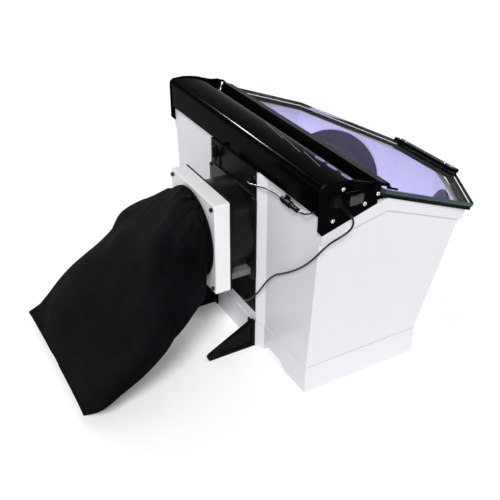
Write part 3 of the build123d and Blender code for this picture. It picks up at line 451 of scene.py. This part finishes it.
# ------------------------------------------------------------------ dust bag
BAG_SECTIONS = [
    # across, back, up, half width, half thickness, tilt in degrees, squareness, metres
    (0, 0.2402, 0.227, 0.0786, 0.0786, 0, 2.0),
    (0, 0.2475, 0.227, 0.0796, 0.0796, 0, 2.0),
    (0, 0.2570, 0.2255, 0.0915, 0.0840, 4, 2.0),
    (0.006, 0.280, 0.207, 0.1245, 0.0765, 20, 2.05),
    (0.014, 0.312, 0.178, 0.1505, 0.0610, 46, 2.2),
    (0.012, 0.368, 0.126, 0.1665, 0.0500, 52, 2.3),
    (0.012, 0.430, 0.076, 0.1725, 0.0370, 62, 2.3),
    (0.018, 0.476, 0.041, 0.1710, 0.0180, 68, 2.2),
    (0.036, 0.5015, 0.0185, 0.1625, 0.0035, 72, 2.2),
]
BAG_ROWS, BAG_COLUMNS = 150, 300
CLOTH_ROUND, CLOTH_LONG, CLOTH_THICK = 0.66, 0.36, 0.0008
CLOTH_INSET = 0.0035        # the cloth's middle lies inside the sections by this
FLOOR_GAP = 0.0008
GATHERS, GATHER_DEPTH = 27, 0.0050
BROAD_FOLDS, BROAD_DEPTH = 8, 0.0030
LONG_FOLDS, LONG_DEPTH = 3, 0.0075
SAG_SCALE, SAG_DEPTH = 13, 0.006


def bag_point(t, turn):
    """A point of the smooth bag and the way out of it there."""
    across, back, up, half_w, half_t, tilt, square = catmull(BAG_SECTIONS, t)
    tilt = math.radians(tilt)
    c, s = math.cos(turn), math.sin(turn)
    x = math.copysign(abs(c) ** (2 / square), c)
    y = math.copysign(abs(s) ** (2 / square), s)
    down = Vector((0, -math.sin(tilt), -math.cos(tilt)))
    centre = Vector((across, back, up))
    point = centre + Vector((1, 0, 0)) * half_w * x + down * half_t * y
    out = (Vector((1, 0, 0)) * x / max(half_w, 0.01) + down * y / max(half_t, 0.01)).normalized()
    return point, out


def fade(t, start, rate):
    return math.exp(-max(0.0, t - start) * rate)


def swell(t, start, length):
    """Rises from nothing and dies away again over a length of the bag."""
    return math.sin(math.pi * limited((t - start) / length))


def fold_depth(point, t, v, turn):
    """Neck gathers that die away, broad folds behind them, long folds and a slight sag."""
    wander = noise.noise(Vector((math.cos(turn) * 1.3, math.sin(turn) * 1.3, 3.7 * v)))
    fine = noise.noise(Vector((math.cos(turn) * 4, math.sin(turn) * 4, 9 * v + 4)))
    near_neck = limited((t - 0.55) * 2) * fade(t, 1.0, 1.15)
    pleat = math.sin(GATHERS * turn + 3.0 * wander + 4 * fine) * GATHER_DEPTH * near_neck \
        * (0.55 + 0.9 * fine)
    broad = math.sin(BROAD_FOLDS * turn + 3.0 * wander + 1.1 * t) * BROAD_DEPTH * limited(t - 0.9) \
        * fade(t, 2.0, 0.9)
    long_fold = math.sin(LONG_FOLDS * turn + 4 * wander + 0.5 * t) * LONG_DEPTH * swell(t, 1.5, 6.2)
    sag = noise.noise(point * SAG_SCALE) * SAG_DEPTH * swell(t, 1.2, 6.6)
    return pleat + broad + long_fold + sag - CLOTH_INSET * limited(t - 1)


def make_dust_bag():
    verts, uvs = [], []
    for r in range(BAG_ROWS):
        v = r / (BAG_ROWS - 1)
        t = (len(BAG_SECTIONS) - 1) * v
        for c in range(BAG_COLUMNS):
            turn = TURN * c / BAG_COLUMNS
            point, out = bag_point(t, turn)
            point = point + out * fold_depth(point, t, v, turn)
            point.z = max(point.z, FLOOR_GAP)
            verts.append(point)
            uvs.append((c / BAG_COLUMNS * CLOTH_ROUND, v * CLOTH_LONG))
    faces = grid_faces(BAG_ROWS, BAG_COLUMNS)
    # the far end is closed along its seam
    base = (BAG_ROWS - 1) * BAG_COLUMNS
    for c in range(BAG_COLUMNS // 2):
        below, next_below = (BAG_COLUMNS - c) % BAG_COLUMNS, (BAG_COLUMNS - c - 1) % BAG_COLUMNS
        face = tuple(dict.fromkeys((base + c, base + c + 1, base + next_below, base + below)))
        if len(face) > 2:
            faces.append(face)
    bag = cloth_object("dust_bag_cloth", verts, faces, CLOTH, uvs)
    thickness = bag.modifiers.new("thickness", "SOLIDIFY")
    thickness.thickness = CLOTH_THICK
    thickness.offset = -1.0
    return bag


bag = make_dust_bag()
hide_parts("dust_bag")
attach(bag, "cabinet")

ELASTIC_ROWS, ELASTIC_COLUMNS, RUFFLES = 14, 288, 44
ELASTIC_R, ELASTIC_RUFFLE = 0.0812, 0.0016
ELASTIC_BACK, ELASTIC_HALF_WIDTH, ELASTIC_UP = 0.2434, 0.0022, 0.227


def make_neck_elastic():
    """The gathered hem that holds the bag on its collar."""
    verts, uvs = [], []
    for r in range(ELASTIC_ROWS):
        a = TURN * r / ELASTIC_ROWS
        for c in range(ELASTIC_COLUMNS):
            turn = TURN * c / ELASTIC_COLUMNS
            ruffle = 0.45 + 0.55 * (0.5 + 0.5 * math.sin(RUFFLES * turn + 2 * math.sin(5 * turn)))
            radius = ELASTIC_R + ELASTIC_RUFFLE * ruffle * math.cos(a)
            y = ELASTIC_BACK + ELASTIC_HALF_WIDTH * math.sin(a)
            verts.append((radius * math.cos(turn), y, ELASTIC_UP + radius * math.sin(turn)))
            uvs.append((c / ELASTIC_COLUMNS * 0.5, r / ELASTIC_ROWS * 0.012))
    faces = grid_faces(ELASTIC_ROWS, ELASTIC_COLUMNS) + joined_rings(ELASTIC_ROWS, ELASTIC_COLUMNS)
    return cloth_object("bag_neck_elastic", verts, faces, CLOTH, uvs)


elastic = make_neck_elastic()
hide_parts("bag_drawcord")
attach(elastic, "cabinet")

# ------------------------------------------------------------------ arm sleeves
PORT_LEAN, PORT_ANGLE = 0.2274, math.radians(53.2)
SLEEVE_PROFILE = [
    # radius and height, from the ring to the arm hole and back underneath
    (0.0722, -0.0012), (0.066, 0.001), (0.057, 0.0036), (0.046, 0.0068), (0.037, 0.0098), (0.0325, 0.0112),
    (0.0305, 0.0112), (0.0302, 0.0096), (0.0325, 0.0082), (0.040, 0.0062), (0.055, 0.0010), (0.0722, -0.0042),
]
SLEEVE_STEPS, SLEEVE_COLUMNS, SLEEVE_LIMIT, SLEEVE_SET_BACK = 48, 240, 0.0724, 0.0022
PLEATS, PLEAT_DEPTH, DEEP_PLEATS, DEEP_DEPTH = 26, 0.0011, 7, 0.0006


def port_frame(side):
    """Axes of an arm port: its middle, two directions in its plane and the outward normal."""
    low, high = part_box("arm_port_ring_" + side)
    middle = (Vector(low) + Vector(high)) / 2
    sign = -1 if side == "left" else 1
    out = Vector((sign * math.cos(PORT_ANGLE), -math.sin(PORT_ANGLE), -PORT_LEAN)).normalized()
    across = out.cross(Vector((0, 0, 1))).normalized()
    return middle, across, across.cross(out), out


def make_sleeve(side):
    """A gathered cloth membrane: stretched at the ring, ruffled round the arm hole."""
    middle, across, up, out = port_frame(side)
    verts, uvs = [], []
    for r in range(SLEEVE_STEPS):
        t = (len(SLEEVE_PROFILE) - 1) * r / (SLEEVE_STEPS - 1)
        radius, height = catmull(SLEEVE_PROFILE, t)
        radius = min(radius, SLEEVE_LIMIT)
        inward = limited((0.071 - radius) / 0.03)
        for c in range(SLEEVE_COLUMNS):
            turn = TURN * c / SLEEVE_COLUMNS
            wander = noise.noise(Vector((math.cos(turn) * 2, math.sin(turn) * 2, 0.3)))
            pleat = math.sin(PLEATS * turn + 4 * wander) * PLEAT_DEPTH * inward \
                * (0.5 + 0.5 * math.sin(math.pi * limited(t / 10)))
            deep = math.sin(DEEP_PLEATS * turn + 5 * wander) * DEEP_DEPTH * inward
            h = height + pleat + deep
            verts.append(middle + across * radius * math.cos(turn) + up * radius * math.sin(turn)
                         + out * (h - SLEEVE_SET_BACK))
            uvs.append((c / SLEEVE_COLUMNS * 0.3, t * 0.006))
    faces = grid_faces(SLEEVE_STEPS, SLEEVE_COLUMNS) + joined_rings(SLEEVE_STEPS, SLEEVE_COLUMNS)
    sleeve = cloth_object("arm_sleeve_" + side, verts, faces, CUFF_CLOTH, uvs)
    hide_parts("arm_cuff_" + side)
    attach(sleeve, "cabinet")


for side in ("left", "right"):
    make_sleeve(side)


# ------------------------------------------------------------------ leads
def tube_object(name, points, radius, material):
    curve = bpy.data.curves.new(name, "CURVE")
    curve.dimensions = "3D"
    spline = curve.splines.new("NURBS")
    spline.points.add(len(points) - 1)
    for p, q in zip(spline.points, points):
        p.co = (*q, 1)
    spline.order_u = 3
    spline.use_endpoint_u = True
    spline.resolution_u = 10
    curve.bevel_depth = radius
    curve.bevel_resolution = 5
    curve.use_fill_caps = True
    curve.materials.append(material)
    return linked(name, curve)


SUPPLY_LEAD = [
    (-0.2675, 0.1090, 0.3540), (-0.2690, 0.1024, 0.3462), (-0.2705, 0.1040, 0.3330), (-0.2680, 0.1130, 0.3235),
    (-0.2660, 0.1250, 0.3175), (-0.2650, 0.1400, 0.3125), (-0.2645, 0.1535, 0.3035), (-0.2550, 0.1575, 0.2880),
    (-0.2320, 0.1570, 0.2620), (-0.2030, 0.1565, 0.2350), (-0.1680, 0.1560, 0.2080), (-0.1430, 0.1585, 0.1920),
    (-0.1240, 0.1635, 0.1680), (-0.1090, 0.1675, 0.1410), (-0.0900, 0.1690, 0.1170), (-0.0710, 0.1690, 0.0975),
    (-0.0580, 0.1680, 0.0900), (-0.0480, 0.1685, 0.0870), (-0.0480, 0.1594, 0.0870),
]
LIGHT_LEAD = [
    (-0.0640, 0.1594, 0.3340), (-0.0640, 0.1684, 0.3340), (-0.0770, 0.1705, 0.3350), (-0.0940, 0.1655, 0.3380),
    (-0.1130, 0.1605, 0.3412), (-0.1340, 0.1575, 0.3425), (-0.1560, 0.1575, 0.3425),
]
LIGHT_LEAD_TAIL = [
    (-0.2020, 0.1575, 0.3425), (-0.2120, 0.1575, 0.3425), (-0.2240, 0.1600, 0.3480), (-0.2360, 0.1660, 0.3550),
    (-0.2470, 0.1650, 0.3615), (-0.2470, 0.1562, 0.3615),
]
LEAD_D = 0.0032
leads = [("supply_lead", SUPPLY_LEAD, 0.3995, "object"), ("light_lead", LIGHT_LEAD, 0.1017, "connector"),
         ("light_lead_tail", LIGHT_LEAD_TAIL, 0.0582, "object")]
for name, points, length, end in leads:
    lead = tube_object(name + "_run", points, LEAD_D / 2, SHEATH)
    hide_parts(name)
    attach(lead, "cabinet")

# ------------------------------------------------------------------ floor, light, camera
FLOOR_HALF, FLOOR_GLOW = 6, 0.12
WORLD_STRENGTH = 0.42
SUN_POWER, SUN_ANGLE, SUN_WAY = 2.6, math.radians(14), (0.60, -0.42, -0.68)

floor_mesh = bpy.data.meshes.new("floor")
floor_mesh.from_pydata([(-FLOOR_HALF, -FLOOR_HALF, 0), (FLOOR_HALF, -FLOOR_HALF, 0),
                        (FLOOR_HALF, FLOOR_HALF, 0), (-FLOOR_HALF, FLOOR_HALF, 0)], [], [(0, 1, 2, 3)])
floor = linked("floor", floor_mesh)
pale, _, shader = new_material("pale_floor")
shader.inputs["Base Color"].default_value = (0.93, 0.93, 0.94, 1)
shader.inputs["Roughness"].default_value = 0.9
shader.inputs["Emission Color"].default_value = (1, 1, 1, 1)
shader.inputs["Emission Strength"].default_value = FLOOR_GLOW
floor_mesh.materials.append(pale)

world = bpy.data.worlds.new("studio")
bpy.context.scene.world = world
world.use_nodes = True
world.node_tree.nodes["Background"].inputs[0].default_value = (1, 1, 1, 1)
world.node_tree.nodes["Background"].inputs[1].default_value = WORLD_STRENGTH
bpy.context.scene.view_settings.view_transform = "Standard"


def aim(light, way):
    light.rotation_euler = Vector(way).to_track_quat("-Z", "Y").to_euler()


def area_light(name, place, target, size, power, colour=(1, 1, 1)):
    light = linked(name, bpy.data.lights.new(name, "AREA"))
    light.data.shape = "RECTANGLE"
    light.data.size, light.data.size_y = size
    light.data.energy = power
    light.data.color = colour
    light.location = place
    aim(light, Vector(target) - Vector(place))
    return light


sun = linked("sun", bpy.data.lights.new("sun", "SUN"))
sun.data.energy = SUN_POWER
sun.data.angle = SUN_ANGLE
aim(sun, SUN_WAY)
# the strip only makes the hood's highlight
strip = area_light("strip", (1.17, 0.32, 1.28), (-0.03, 0.15, 0.40), (0.30, 0.09), 60)
strip.visible_diffuse = False
# the violet light that the light bar throws into the chamber
glow = area_light("chamber_glow", (0.0, -0.02, 0.325), (0.0, -0.03, 0.0), (0.34, 0.07), 1.35,
                  (0.60, 0.55, 1.0))
glow.visible_camera = False
glow.visible_transmission = False

EYE = Vector((-1.03342, 0.71468, 0.89325))
RIGHT, UP, AHEAD = (Vector((-0.49299, -0.87002, 0.00514)), Vector((0.46194, -0.25674, 0.84894)),
                    Vector((0.73727, -0.42090, -0.52846)))
camera = linked("camera", bpy.data.cameras.new("camera"))
camera.matrix_world = Matrix([(RIGHT[i], UP[i], -AHEAD[i], EYE[i]) for i in range(3)] + [(0, 0, 0, 1)])
camera.data.lens = 54.24
camera.data.sensor_width = 36
bpy.context.scene.camera = camera
